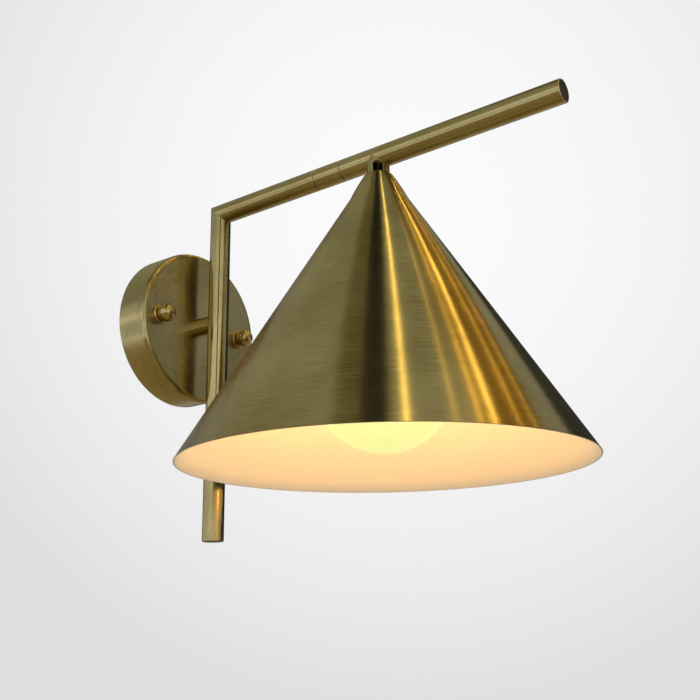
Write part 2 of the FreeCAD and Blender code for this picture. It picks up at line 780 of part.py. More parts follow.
# ---------------------------------------------------------------- lampholder and bulb
def lampholder():
    """Screw lampholder: domed cap, skirted body, contact base, screw shell and centre contact."""
    r, top, mouth, bore = d.holder_r, d.holder_top, d.holder_mouth, d.holder_bore_r
    joint = top - d.holder_cap_high
    dome = top - d.holder_dome_high
    cap = new_body("lampholder_cap")
    turned(
        cap,
        [
            (d.nipple_r, top),
            (d.nipple_r + 3.5, top),
            (r, dome, d.holder_dome_bend, 1),
            (r, joint),
            (r - 2.5, joint),
            (r - 2.5, dome + 1.0),
            (d.nipple_r + 3.0, dome + 4.0),
            (d.nipple_r, dome + 4.0),
        ],
    )
    place(cap, UPRIGHT, y=-d.shade_out)

    holder = new_body("lampholder_body")
    turned(
        holder,
        [
            (bore, mouth),
            (r - 1.0, mouth),
            (r - 1.0, mouth + 8.0),
            (r, mouth + 9.0),
            (r, joint),
            (r - 3.0, joint),
            (bore, joint - 4.0),
        ],
    )
    place(holder, UPRIGHT, y=-d.shade_out)

    base_top = joint - 6.0
    base_low = base_top - d.base_high
    base = new_body("contact_base")
    ring(base, bore, d.contact_r, base_low, base_top)
    place(base, UPRIGHT, y=-d.shade_out)

    shell = new_body("screw_shell")
    ring(shell, d.shell_r, d.screw_cap_r, mouth + 3.0, base_low)
    place(shell, UPRIGHT, y=-d.shade_out)

    contact = new_body("centre_contact")
    rod(contact, d.contact_r, base_low - 4.0, base_top)
    place(contact, UPRIGHT, y=-d.shade_out)


def bulb():
    """Opal globe bulb: glass, plastic collar, screw cap, insulator and tip."""
    mouth, globe, low = d.holder_mouth, d.globe_r, -d.globe_low
    neck_r, neck_low, wide = d.glass_neck_r, mouth - d.glass_neck_low, d.glass_shoulder_r
    wall = d.glass_wall
    inner, inner_wide = globe - wall, wide - wall
    meets = low + math.sqrt(globe.value**2 - wide.value**2)
    inner_meets = low + math.sqrt(inner.value**2 - inner_wide.value**2)
    glass = new_body("bulb_globe")
    turned(
        glass,
        [
            (0.0, low - globe),
            (globe, low, globe, -1),
            (wide, meets, globe, -1),
            (neck_r, neck_low),
            (neck_r - wall, neck_low),
            (inner_wide, inner_meets),
            (inner, low, inner, 1),
            (0.0, low - inner, inner, 1),
        ],
    )
    place(glass, UPRIGHT, y=-d.shade_out)

    cap_low, cap_high = mouth - d.screw_cap_low, mouth + d.screw_cap_high
    cap_in_r = d.screw_cap_r - d.screw_cap_wall
    collar = new_body("bulb_collar")
    rod(collar, neck_r, neck_low, cap_low)
    place(collar, UPRIGHT, y=-d.shade_out)

    cap = new_body("bulb_screw_cap")
    ring(cap, d.screw_cap_r, cap_in_r, cap_low, cap_high)
    place(cap, UPRIGHT, y=-d.shade_out)

    top, top_r = mouth + d.insulator_high, d.insulator_top_r
    insulator = new_body("bulb_insulator")
    turned(
        insulator,
        [(0.0, cap_high - 2.0), (cap_in_r, cap_high - 2.0), (cap_in_r, cap_high), (top_r, top), (0.0, top)],
    )
    place(insulator, UPRIGHT, y=-d.shade_out)

    tip = new_body("bulb_tip")
    rod(tip, d.tip_r, top, top + 1.0)
    place(tip, UPRIGHT, y=-d.shade_out)


# ---------------------------------------------------------------- lead
def lead(label, route, bends):
    """A round lead along straight runs joined by tangent arcs of the given radii."""
    radius = d.lead_r.value
    edges, last = [], route[0]
    for before, corner, after, bend in zip(route, route[1:], route[2:], bends):
        into = (corner - before).normalize()
        out = (after - corner).normalize()
        turn = into.getAngle(out)
        reach = bend * math.tan(turn / 2)
        start, end = corner - into * reach, corner + out * reach
        to_centre = (out - into).normalize()
        centre = corner + to_centre * (bend / math.cos(turn / 2))
        edges.append(Part.LineSegment(last, start).toShape())
        edges.append(Part.Arc(start, centre - to_centre * bend, end).toShape())
        last = end
    edges.append(Part.LineSegment(last, route[-1]).toShape())
    path = Part.Wire(edges)
    first_way = (route[1] - route[0]).normalize()
    face = Part.Wire(Part.Circle(route[0], first_way, radius).toShape())
    tube = path.makePipeShell([face], True, True)
    expected = math.pi * radius**2 * path.Length
    print(f"{label}: {path.Length:.0f} mm long, volume {tube.Volume / expected:.4f} of section x length")
    feature = doc.addObject("Part::Feature", label + "_tube")
    feature.Shape = tube
    sub_part(feature, label)


def leads():
    """The lead from the canopy to the swivel, and on to the lampholder; they meet on the swivel's axis."""
    out, up = -d.upright_out.value, d.arm_height.value
    meet = -(bush_end + d.lead_meet).value
    shade_y = -d.shade_out.value
    entry = -(d.canopy_deep - d.canopy_wall - d.lead_entry).value
    bend = d.lead_bend.value
    wall_side = [
        Vector(0, entry, -d.lead_start_low.value),
        Vector(0, entry, 0),
        Vector(0, out, 0),
        Vector(0, out, up),
        Vector(0, meet, up),
    ]
    lead("frame_lead", wall_side, [bend, bend, bend])
    base_top = (d.holder_top - d.holder_cap_high - d.base_high).value
    head_side = [Vector(0, meet, up), Vector(0, shade_y, up), Vector(0, shade_y, base_top)]
    lead("head_lead", head_side, [bend])


# ---------------------------------------------------------------- build and write
def build():
    wall_bracket()
    bracket_studs()
    canopy()
    cap_nuts()
    stem()
    terminal_block()
    upright_tube()
    arm_stub()
    upright_boss()
    end_plug("upright_plug", UPRIGHT, y=-d.upright_out, z=-d.upright_drop)
    swivel()
    arm_tube()
    tee_block()
    end_plug("arm_plug", Rotation(Vector(1, 0, 0), -90), y=-d.arm_reach, z=d.arm_height)
    shade_neck()
    shade()
    neck_hardware()
    lampholder()
    bulb()
    leads()
    doc.recompute()


def write():
    os.makedirs("parts", exist_ok=True)
    for thing in doc.Objects:
        if {"Invalid", "Error"} & set(thing.State):
            raise RuntimeError(f"{thing.Label} failed: {thing.State}")
    for part in SUB_PARTS:
        shape = part.Shape
        if shape.isNull() or not shape.isValid():
            raise RuntimeError(f"{part.Label} has no valid shape")
        shape.exportStep(f"parts/{part.Label}.step")
        print(f"{part.Label}: {len(shape.Solids)} solid(s), {shape.Volume:.1f} mm3")


build()
write()
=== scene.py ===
# %% [markdown]
# # A brushed-brass wall sconce, dressed for the studio
# The lamp is a round canopy, a mitred tube frame with a swivel in its arm, and a spun cone shade with a lit
# globe bulb. The maker's model already holds every piece at its real size, so this lesson gives the pieces
# their finishes, spins a finer skin for the shade and new ball nuts, and lights them all.

import math

import bmesh
import bpy
from mathutils import Matrix, Vector


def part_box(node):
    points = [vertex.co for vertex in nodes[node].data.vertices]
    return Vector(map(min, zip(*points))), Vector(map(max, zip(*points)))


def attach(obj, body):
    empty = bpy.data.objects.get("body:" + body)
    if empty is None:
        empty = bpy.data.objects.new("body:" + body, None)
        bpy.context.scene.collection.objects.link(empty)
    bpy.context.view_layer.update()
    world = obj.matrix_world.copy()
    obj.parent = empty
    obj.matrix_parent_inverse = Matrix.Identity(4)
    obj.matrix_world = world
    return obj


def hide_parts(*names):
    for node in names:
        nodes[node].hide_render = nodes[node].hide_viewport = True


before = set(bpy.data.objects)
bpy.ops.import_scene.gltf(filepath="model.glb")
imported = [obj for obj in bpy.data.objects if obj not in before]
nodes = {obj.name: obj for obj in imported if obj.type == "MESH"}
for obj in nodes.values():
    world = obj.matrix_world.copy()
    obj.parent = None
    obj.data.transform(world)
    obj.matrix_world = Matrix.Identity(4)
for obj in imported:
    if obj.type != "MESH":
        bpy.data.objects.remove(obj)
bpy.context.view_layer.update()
print("pieces in the frame:", len(nodes))

# %% [markdown]
# ## The camera
# The photograph looks up at the lamp from below and from its left, close enough for clear perspective. The
# camera's place and lens were found by fitting the rim's ellipse, the tube edges and the canopy's outline.

# %% Place the camera where the photograph was taken
MM = 0.001
CAMERA_SPOT = Vector((-490.9, -534.3, -224.3)) * MM
CAMERA_AZIMUTH = math.radians(-53.6)
CAMERA_RISE = math.radians(-16.3)
CAMERA_ROLL = math.radians(-0.95)
FOCAL_PIXELS = 923.0
PHOTO_PIXELS = 700.0
SENSOR_MM = 36.0


def camera_axes():
    """Right, up and backward directions of the camera."""
    flat = math.cos(CAMERA_RISE)
    east, north = math.sin(CAMERA_AZIMUTH), -math.cos(CAMERA_AZIMUTH)
    backward = Vector((east * flat, north * flat, math.sin(CAMERA_RISE)))
    level = Vector((-north, east, 0.0))
    raised = backward.cross(level)
    right = level * math.cos(CAMERA_ROLL) + raised * math.sin(CAMERA_ROLL)
    return right, backward.cross(right), backward


def add_camera():
    """A camera at the photograph's place, with a lens that gives its focal length in pixels."""
    lens = bpy.data.cameras.new("studio_camera")
    lens.sensor_width = SENSOR_MM
    lens.lens = SENSOR_MM * FOCAL_PIXELS / PHOTO_PIXELS
    lens.clip_start = 10 * MM
    camera = bpy.data.objects.new("studio_camera", lens)
    right, up, backward = camera_axes()
    turned = Matrix((right, up, backward)).transposed().to_4x4()
    camera.matrix_world = Matrix.Translation(CAMERA_SPOT) @ turned
    bpy.context.scene.collection.objects.link(camera)
    bpy.context.scene.camera = camera
    print("lens:", round(lens.lens, 2), "mm")


add_camera()

# %% [markdown]
# ## Colours and nodes
# Finishes are written as sRGB hex values, as a paint chart gives them, and one function turns them linear.
# One small function adds a shader node with its settings and links.

# %% Colour and node helpers
def linear(code):
    """An sRGB hex colour as linear RGBA."""
    channels = [int(code[i : i + 2], 16) / 255 for i in (1, 3, 5)]
    return tuple(c / 12.92 if c <= 0.04045 else ((c + 0.055) / 1.055) ** 2.4 for c in channels) + (1.0,)


def add_node(tree, kind, settings=(), **inputs):
    """Adds a node. settings are its own properties; an input is a value or another node's output socket."""
    node = tree.nodes.new(kind)
    for name, value in dict(settings).items():
        setattr(node, name, value)
    for name, value in inputs.items():
        key = int(name[1:]) if name[0] == "_" and name[1:].isdigit() else name.replace("_", " ")
        if isinstance(value, bpy.types.NodeSocket):
            tree.links.new(value, node.inputs[key])
        else:
            node.inputs[key].default_value = value
    return node


def new_finish(name):
    """An empty material with its output; returns the material, its tree and a function that ends it."""
    finish = bpy.data.materials.new(name)
    finish.use_nodes = True
    tree = finish.node_tree
    tree.nodes.clear()
    out = tree.nodes.new("ShaderNodeOutputMaterial")
    return finish, tree, lambda shader: tree.links.new(shader.outputs[0], out.inputs["Surface"])


def dress(finish, *names):
    """Gives CAD pieces one finish over their whole surface."""
    for name in names:
        piece = nodes[name]
        piece.data.materials.clear()
        piece.data.materials.append(finish)


print("mid grey in linear light:", [round(c, 3) for c in linear("#808080")])

# %% [markdown]
# ## Brushed brass
# The metal looks like brass that was brushed on a lathe, darkened a little and then lacquered. Fine scratches
# run round the shade, and reflections spread across them, so every lamp in the studio becomes a streak from
# the shade's top to its rim. The shader's anisotropy gives that spread, and stretched noise gives the
# scratches that can still be seen. The scratches are drawn about 0.8 mm apart, coarser than real ones, so
# that they show in the render. Slow clouds of tone, about 55 mm across, stand for uneven lacquer.

# %% The brushed brass finish
BRASS = "#C4B788"
BRASS_WORN = "#9C8F60"
SCRATCH_PITCH = 0.8 * MM
SCRATCHES_PER_RADIAN = 5.0
CLOUDS_PER_METRE = 18.0
MULTIPLY = {"operation": "MULTIPLY"}
MAXIMUM = {"operation": "MAXIMUM"}
COLOURS = {"data_type": "RGBA"}  # such a Mix node takes its colours at inputs 6 and 7 and gives output 2


def brushed_brass(name, centre, axis, anisotropy, roughness, relief=0.03):
    """Brass brushed in circles round an axis through centre; returns material, tree and shader."""
    finish, tree, end = new_finish(name)
    spot = add_node(tree, "ShaderNodeTexCoord").outputs["Object"]
    centred = add_node(tree, "ShaderNodeMapping", Vector=spot, Location=tuple(-c for c in centre)).outputs[0]
    parts = add_node(tree, "ShaderNodeSeparateXYZ", Vector=centred).outputs
    across, up = ("X", "Y") if axis == "Z" else ("X", "Z")
    flat = add_node(tree, "ShaderNodeCombineXYZ", X=parts[across], Y=parts[up], Z=0.0)
    length = add_node(tree, "ShaderNodeVectorMath", {"operation": "LENGTH"}, _0=flat.outputs[0])
    radius = length.outputs["Value"]
    turn = add_node(tree, "ShaderNodeMath", {"operation": "ARCTAN2"}, _0=parts[up], _1=parts[across])
    outward = add_node(tree, "ShaderNodeMath", {"operation": "SUBTRACT"}, _0=radius, _1=parts[axis])
    rolled = add_node(tree, "ShaderNodeCombineXYZ", X=turn.outputs[0], Y=outward.outputs[0], Z=0.0).outputs[0]
    stretch = (SCRATCHES_PER_RADIAN, 1.0 / SCRATCH_PITCH, 1.0)
    scaled = add_node(tree, "ShaderNodeMapping", Vector=rolled, Scale=stretch).outputs[0]
    lines = add_node(tree, "ShaderNodeTexNoise", Vector=scaled, Scale=1.0, Detail=3.0, Roughness=0.65)
    scratches = lines.outputs[0]
    clouds = add_node(tree, "ShaderNodeTexNoise", Vector=centred, Scale=CLOUDS_PER_METRE, Detail=3.0)
    both = {"_0": scratches, "_1": 1.2, "_2": clouds.outputs[0]}
    tone = add_node(tree, "ShaderNodeMath", {"operation": "MULTIPLY_ADD"}, **both)
    share = add_node(tree, "ShaderNodeMapRange", Value=tone.outputs[0], From_Min=0.8, From_Max=1.3)
    mixed = add_node(tree, "ShaderNodeMix", COLOURS, Factor=share.outputs[0])
    mixed.inputs[6].default_value = linear(BRASS_WORN)
    mixed.inputs[7].default_value = linear(BRASS)
    rough = add_node(
        tree,
        "ShaderNodeMapRange",
        Value=scratches,
        From_Min=0.25,
        From_Max=0.75,
        To_Min=roughness - 0.03,
        To_Max=roughness + 0.03,
    )
    bump = add_node(tree, "ShaderNodeBump", Strength=relief, Distance=0.1 * MM, Height=scratches)
    around = add_node(tree, "ShaderNodeTangent", {"direction_type": "RADIAL", "axis": axis})
    metal = add_node(
        tree,
        "ShaderNodeBsdfPrincipled",
        Base_Color=mixed.outputs[2],
        Metallic=1.0,
        Roughness=rough.outputs[0],
        Normal=bump.outputs[0],
        Anisotropic=anisotropy,
        Anisotropic_Rotation=0.25,
        Tangent=around.outputs[0],
    )
    end(metal)
    return finish, tree, metal


SHADE_AXIS = Vector((0.0, -0.2, 0.0))
ARM_HEIGHT = 91.5 * MM
UPRIGHT_OUT = 45.0 * MM
ARM_LINE = (0.0, 0.0, ARM_HEIGHT)
UPRIGHT_LINE = (0.0, -UPRIGHT_OUT, 0.0)
WALL_CENTRE = (0.0, 0.0, 0.0)
# The tubes are brushed finer, so their scratches get no relief and change only tone and roughness.
arm_brass = brushed_brass("brass_arm_brushed_round", ARM_LINE, "Y", 0.75, 0.24, 0.0)[0]
upright_brass = brushed_brass("brass_upright_brushed_round", UPRIGHT_LINE, "Z", 0.75, 0.18, 0.0)[0]
neck_brass = brushed_brass("brass_neck_brushed_round", SHADE_AXIS, "Z", 0.6, 0.22, 0.0)[0]
# The canopy was brushed round its own middle, so reflections fan out over its face.
canopy_brass = brushed_brass("brass_canopy_brushed_round", WALL_CENTRE, "Y", 0.85, 0.24)[0]
dress(arm_brass, "arm_stub", "arm_tube", "swivel_collar")
dress(upright_brass, "upright_tube")
dress(neck_brass, "shade_neck")
dress(canopy_brass, "canopy", "stem_sleeve")
print("brass finishes ready")

# %% [markdown]
# ## The shade
# The shade is one spun sheet: brass outside, white enamel inside and over the cut edge. The enamel is
# sprayed in, so the line between the two finishes is the edge itself. The skin is spun here with many
# steps, because a long soft reflection shows every facet of a coarse cone.

# %% Spin the shade
SPIN_STEPS = 256
CREASE = math.radians(35.0)
shade_low, shade_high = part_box("shade")
RIM_R = (shade_high.x - shade_low.x) / 2
RIM_Z = shade_low.z
TOP_Z = shade_high.z
APEX_Z = 91.0 * MM  # where the cone's sides would meet
WALL = 1.0 * MM
BEND_STEPS = 6
CONE_STEPS = 24
NIPPLE_R = 5.0 * MM
NECK_R = 8.0 * MM
cone_slope = RIM_R / (APEX_Z - RIM_Z)


def bend_points(start, end, radius, side, steps):
    """Points of the short arc from start to end, without start; side 1 bulges to the left of that way."""
    a, b = Vector(start), Vector(end)
    chord = b - a
    left = Vector((-chord.y, chord.x)).normalized() * side
    half = chord.length / 2
    middle = (a + b) / 2 - left * math.sqrt(radius**2 - half**2)
    first, last = a - middle, b - middle
    swing = first.angle_signed(last)
    points = []
    for n in range(1, steps + 1):
        points.append(tuple(middle + Matrix.Rotation(-swing * n / steps, 2) @ first))
    return points


def spin_profile(name, profile, axis_spot, direction=Vector((0, 0, 1)), steps=SPIN_STEPS):
    """Turns a closed profile of (radius, height) points round an axis and returns the object."""
    mesh = bmesh.new()
    points = [mesh.verts.new((r, 0.0, h)) for r, h in profile]
    edges = [mesh.edges.new(pair) for pair in zip(points, points[1:] + points[:1])]
    whole = {"cent": (0, 0, 0), "axis": (0, 0, 1), "angle": 2 * math.pi}
    bmesh.ops.spin(mesh, geom=points + edges, steps=steps, use_merge=True, use_duplicate=False, **whole)
    bmesh.ops.remove_doubles(mesh, verts=mesh.verts, dist=1e-6)
    bmesh.ops.dissolve_degenerate(mesh, dist=1e-7, edges=mesh.edges)
    bmesh.ops.recalc_face_normals(mesh, faces=mesh.faces)
    turn = Vector((0, 0, 1)).rotation_difference(direction).to_matrix().to_4x4()
    bmesh.ops.transform(mesh, matrix=Matrix.Translation(axis_spot) @ turn, verts=mesh.verts)
    for face in mesh.faces:
        face.smooth = True
    for edge in mesh.edges:
        edge.smooth = edge.calc_face_angle(0.0) < CREASE
    data = bpy.data.meshes.new(name)
    mesh.to_mesh(data)
    mesh.free()
    piece = bpy.data.objects.new(name, data)
    bpy.context.scene.collection.objects.link(piece)
    return piece


def cone_radius(height, inset=0.0):
    """The cone's radius at a height, or that of a cone set in from it by the inset, measured square to it."""
    return (APEX_Z - height) * cone_slope - inset * math.hypot(1.0, cone_slope)


def shade_profile():
    """The shade's section: out over the shoulder, down the cone, round the edge and back up inside."""
    shoulder, shoulder_round = (11.4 * MM, 74.9 * MM), 6.7 * MM
    blend, blend_round = 57.2 * MM, 175 * MM
    out = [(NIPPLE_R, TOP_Z), (NECK_R, TOP_Z)]
    out += bend_points(out[-1], shoulder, shoulder_round, 1, BEND_STEPS)
    out += bend_points(out[-1], (cone_radius(blend), blend), blend_round, 1, BEND_STEPS)
    heights = [blend + (RIM_Z - blend) * n / CONE_STEPS for n in range(1, CONE_STEPS)]
    out += [(cone_radius(height), height) for height in heights]
    edge = 0.25 * MM
    out += [(cone_radius(RIM_Z + edge), RIM_Z + edge), (cone_radius(RIM_Z, edge), RIM_Z)]
    inner = [(cone_radius(RIM_Z, WALL - edge), RIM_Z), (cone_radius(RIM_Z + edge, WALL), RIM_Z + edge)]
    inner += [(cone_radius(height, WALL), height) for height in reversed(heights)]
    inner += [(cone_radius(blend, WALL), blend), (10.5 * MM, 74.4 * MM)]
    inner += [(7.6 * MM, TOP_Z - WALL), (NIPPLE_R, TOP_Z - WALL)]
    return out + inner


shade = spin_profile("spun_shade", shade_profile(), SHADE_AXIS)
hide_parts("shade")
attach(shade, "lamp_head")
print("shade faces:", len(shade.data.polygons))

# %% [markdown]
# The two finishes meet on one mesh. The brass faces away from the shade's axis and the enamel does not, so
# the surface direction tells them apart: where it points outwards the shader is brass, elsewhere enamel. A
# material that reads the direction needs no seam in the mesh.

# %% Brass outside, enamel inside
ENAMEL = "#F3EBDD"
ENAMEL_SHADED = "#EDE4D4"
SPECKS_PER_METRE = 900.0  # sprayed enamel's peel, about 1 mm from bump to bump


def shade_finish():
    """Brushed brass where the surface faces away from the axis, sprayed satin enamel everywhere else."""
    finish, tree, brass = brushed_brass("brass_shade_brushed_round", SHADE_AXIS, "Z", 0.95, 0.24, 0.04)
    coords = add_node(tree, "ShaderNodeTexCoord")
    spot = coords.outputs["Object"]
    centred = add_node(tree, "ShaderNodeMapping", Vector=spot, Location=tuple(-SHADE_AXIS)).outputs[0]
    level = add_node(tree, "ShaderNodeVectorMath", MULTIPLY, _0=centred, _1=(1.0, 1.0, 0.0)).outputs[0]
    away = add_node(tree, "ShaderNodeVectorMath", {"operation": "NORMALIZE"}, _0=level).outputs[0]
    normal = coords.outputs["Normal"]
    facing = add_node(tree, "ShaderNodeVectorMath", {"operation": "DOT_PRODUCT"}, _0=normal, _1=away)
    share = facing.outputs["Value"]
    outside = add_node(tree, "ShaderNodeMath", {"operation": "GREATER_THAN"}, _0=share, _1=0.3)
    noise = add_node(tree, "ShaderNodeTexNoise", Vector=centred, Scale=SPECKS_PER_METRE, Detail=2.0)
    specks = noise.outputs[0]
    peel = add_node(tree, "ShaderNodeBump", Strength=0.05, Distance=0.3 * MM, Height=specks)
    tone = add_node(tree, "ShaderNodeMix", COLOURS, Factor=specks)
    tone.inputs[6].default_value = linear(ENAMEL)
    tone.inputs[7].default_value = linear(ENAMEL_SHADED)
    enamel = add_node(
        tree, "ShaderNodeBsdfPrincipled", Base_Color=tone.outputs[2], Roughness=0.45, Normal=peel.outputs[0]
    )
    shaders = {"_1": enamel.outputs[0], "_2": brass.outputs[0]}
    both = add_node(tree, "ShaderNodeMixShader", _0=outside.outputs[0], **shaders)
    out = next(n for n in tree.nodes if n.type == "OUTPUT_MATERIAL")
    tree.links.new(both.outputs[0], out.inputs["Surface"])
    return finish


shade.data.materials.append(shade_finish())
print("shade finished")

# %% [markdown]
# ## The bulb
# The globe is blown opal glass, lit from inside. A lit opal ball is nearly even over its face and a little
# warmer towards its edge, so its glow is an emission whose colour changes where the surface turns away. A
# warm point lamp inside stands for the lit glass: its light passes through the globe, and reflections see
# the lamp and not the globe, which keeps the bulb's image in the brass small and bright.

# %% The opal globe and its light
GLOBE_Z = -73.0 * MM
BULB_WATTS = 0.76
BULB_LAMP_R = 30.0 * MM


def globe_finish():
    """Opal glass with an even glow."""
    finish, tree, end = new_finish("opal_glass_lit")
    edge = add_node(tree, "ShaderNodeLayerWeight", Blend=0.35).outputs["Facing"]
    glow = add_node(tree, "ShaderNodeMix", COLOURS, Factor=edge)
    glow.inputs[6].default_value = linear("#F0FB9C")
    glow.inputs[7].default_value = linear("#EFEA8C")
    glass = add_node(
        tree,
        "ShaderNodeBsdfPrincipled",
        Base_Color=linear("#D8CBA8"),
        Roughness=0.35,
        Emission_Color=glow.outputs[2],
        Emission_Strength=0.8,
    )
    end(glass)
    return finish


dress(globe_finish(), "bulb_globe")
nodes["bulb_globe"].visible_shadow = False
nodes["bulb_globe"].visible_glossy = False
lamp = bpy.data.lights.new("bulb_light", "POINT")
lamp.energy = BULB_WATTS
lamp.color = linear("#FFC680")[:3]
lamp.shadow_soft_size = BULB_LAMP_R
bulb_light = bpy.data.objects.new("bulb_light", lamp)
bulb_light.location = SHADE_AXIS + Vector((0.0, 0.0, GLOBE_Z))
bpy.context.scene.collection.objects.link(bulb_light)
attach(bulb_light, "lamp_head")
print("bulb lit")

# %% [markdown]
# ## The ball nuts
# Two turned nuts hold the canopy on its studs: a low round seat and a ball. Each is one turned profile, so
# one spin makes it, and the two are joined because one node of the model stands for both.

# %% Turn the ball nuts
NUT_OUT = 42.5 * MM
CANOPY_DEEP = 27.0 * MM
BALL_STEPS = 24


def ball_nut_profile():
    """Seat and ball from the canopy outwards, closed along the nut's own axis."""
    seat_r, seat_high, ball_r, ball_high = 7.4 * MM, 1.0 * MM, 6.9 * MM, 6.0 * MM
    meet_r = math.sqrt(ball_r**2 - (ball_high - seat_high) ** 2)
    points = [(0.0, 0.0), (seat_r, 0.0)]
    points += bend_points(points[-1], (seat_r - seat_high, seat_high), seat_high, -1, BEND_STEPS)
    start = math.asin(meet_r / ball_r)
    points.append((meet_r, ball_high - ball_r * math.cos(start)))
    for n in range(1, BALL_STEPS + 1):
        turn = math.pi - start - (math.pi - start) * n / BALL_STEPS
        points.append((ball_r * math.sin(turn), ball_high + ball_r * math.cos(turn)))
    return points


def join(name, *pieces):
    """Joins meshes that share one finish into the first piece."""
    mesh = bmesh.new()
    for piece in pieces:
        mesh.from_mesh(piece.data)
    mesh.to_mesh(pieces[0].data)
    mesh.free()
    for piece in pieces[1:]:
        bpy.data.objects.remove(piece)
    pieces[0].name = name
    return pieces[0]


OUT = Vector((0.0, -1.0, 0.0))
turned_nuts = [
    spin_profile(f"ball_nut_{n}", ball_nut_profile(), (side * NUT_OUT, -CANOPY_DEEP, 0.0), OUT, steps=48)
    for n, side in enumerate((-1, 1))
]
ball_nuts = join("ball_nuts", *turned_nuts)
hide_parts("cap_nuts")
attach(ball_nuts, "wall_frame")
print("ball nut faces:", len(ball_nuts.data.polygons))

# %% [markdown]
# ## The small parts
# Polished nuts, zinc-plated steel, blackened steel, moulded plastic and cable sheath. Each starts from its
# usual roughness and gets a fine grain in colour, roughness and relief, because no real surface is one even
# colour. One function makes all of them but the thread, and a comment says what each real finish is.

# %% Finishes for the small parts
def grained(name, light, dark, roughness, metallic=0.0, grain_mm=1.0, bump=0.05):
    """A finish with a fine grain between two tones, its size given in millimetres."""
    finish, tree, end = new_finish(name)
    spot = add_node(tree, "ShaderNodeTexCoord").outputs["Object"]
    noise = add_node(tree, "ShaderNodeTexNoise", Vector=spot, Scale=1.0 / (grain_mm * MM), Detail=4.0)
    grain = noise.outputs[0]
    tone = add_node(tree, "ShaderNodeMix", COLOURS, Factor=grain)
    tone.inputs[6].default_value = linear(dark)
    tone.inputs[7].default_value = linear(light)
    spread = {"To_Min": roughness - 0.06, "To_Max": roughness + 0.06}
    rough = add_node(tree, "ShaderNodeMapRange", Value=grain, **spread)
    dents = add_node(tree, "ShaderNodeBump", Strength=bump, Distance=0.2 * MM, Height=grain)
    surface = {"Roughness": rough.outputs[0], "Normal": dents.outputs[0]}
    end(add_node(tree, "ShaderNodeBsdfPrincipled", Base_Color=tone.outputs[2], Metallic=metallic, **surface))
    return finish


# Polished and lacquered brass: nearly a mirror, with a slow change of tone.
polished = grained("brass_polished", "#C8B47C", "#B3A068", 0.2, 1.0, 6.0, 0.02)
# Brass as it leaves the lathe: brighter yellow and a little dull.
raw_brass = grained("brass_turned", "#C9AE6C", "#B3985A", 0.3, 1.0, 0.8)
# Zinc-plated steel: cool grey with a soft shine.
zinc = grained("steel_zinc_plated", "#B4B8BC", "#9A9EA2", 0.34, 1.0, 1.5)
THREAD_PITCH = 1.0 * MM


def thread_finish():
    """Blackened steel with a screw thread drawn as bands one pitch apart: painted shade in the grooves,
    painted highlight on the crests.
    """
    finish, tree, end = new_finish("steel_thread_painted_shade")
    spot = add_node(tree, "ShaderNodeTexCoord").outputs["Object"]
    height = add_node(tree, "ShaderNodeSeparateXYZ", Vector=spot).outputs["Z"]
    phase = add_node(tree, "ShaderNodeMath", MULTIPLY, _0=height, _1=2 * math.pi / THREAD_PITCH)
    wave = add_node(tree, "ShaderNodeMath", {"operation": "SINE"}, _0=phase.outputs[0]).outputs[0]
    share = add_node(tree, "ShaderNodeMapRange", Value=wave, From_Min=-1.0)
    # The dark colour falls in the thread's grooves and the light one on its crests: painted shade and a
    # painted highlight, over the ridges' own relief.
    tone = add_node(tree, "ShaderNodeMix", COLOURS, Factor=share.outputs[0])
    tone.inputs[6].default_value = linear("#0B0A09")
    tone.inputs[7].default_value = linear("#24211B")
    ridge = add_node(tree, "ShaderNodeBump", Strength=0.6, Distance=0.3 * MM, Height=wave)
    surface = {"Base_Color": tone.outputs[2], "Normal": ridge.outputs[0]}
    end(add_node(tree, "ShaderNodeBsdfPrincipled", Metallic=0.8, Roughness=0.4, **surface))
    return finish


thread_painted_shade = thread_finish()
# Moulded nylon: satin black.
black_plastic = grained("nylon_black", "#1B1A18", "#100F0E", 0.5, 0.0, 0.6)
# Moulded thermoset plastic: warm white, smooth but not glossy.
white_plastic = grained("thermoset_white", "#E6E1D6", "#DAD4C7", 0.42, 0.0, 1.2)
# Glazed porcelain: glossy and a little creamy.
porcelain = grained("porcelain_glazed", "#ECE7DB", "#E2DCCE", 0.18, 0.0, 4.0, 0.02)
# Nickel plating: a warmer, sharper shine than zinc.
nickel = grained("nickel_plated", "#CFCBC2", "#BDB8AD", 0.22, 1.0, 2.0)
# Solder, drawn from the iron: dull and lumpy.
solder = grained("solder_tin", "#BDBDB8", "#A3A39E", 0.4, 1.0, 0.7)
# The cable's plastic sheath: soft off-white.
sheath = grained("pvc_sheath", "#CFC9BA", "#C2BBAA", 0.5, 0.0, 0.8)
ball_nuts.data.materials.append(polished)
dress(raw_brass, "earth_screw", "upright_boss", "swivel_insert", "swivel_bush", "tee_block", "centre_contact")
dress(zinc, "wall_bracket", "bracket_studs", "stem_nipple", "stem_washer", "stem_nut", "block_screw")
dress(zinc, "swivel_spigot", "stop_pin", "spring_washer", "swivel_nut", "shade_washer", "shade_nut")
dress(thread_painted_shade, "neck_nipple")
dress(black_plastic, "upright_plug", "arm_plug", "seam_washer", "bulb_insulator")
dress(white_plastic, "terminal_block", "lampholder_cap", "lampholder_body", "bulb_collar")
dress(porcelain, "contact_base")
dress(nickel, "screw_shell", "bulb_screw_cap")
dress(solder, "bulb_tip")
dress(sheath, "frame_lead", "head_lead")
print("every piece has a finish")

# %% [markdown]
# ## The studio
# The camera sees a pale floor and a pale backdrop, and their glow adds nothing to the light. Brushed
# metal shows whatever stands round it, and the photograph's brass mirrors a studio that its background does
# not show. So reflections have a surround of their own: a bright band and a door on the left, a dim warm
# ceiling, and a dark side on the right that gives the shade its dark edge.

# %% The surround
UP, DOWN = (0.0, 0.0, 1.0), (0.0, 0.0, -1.0)
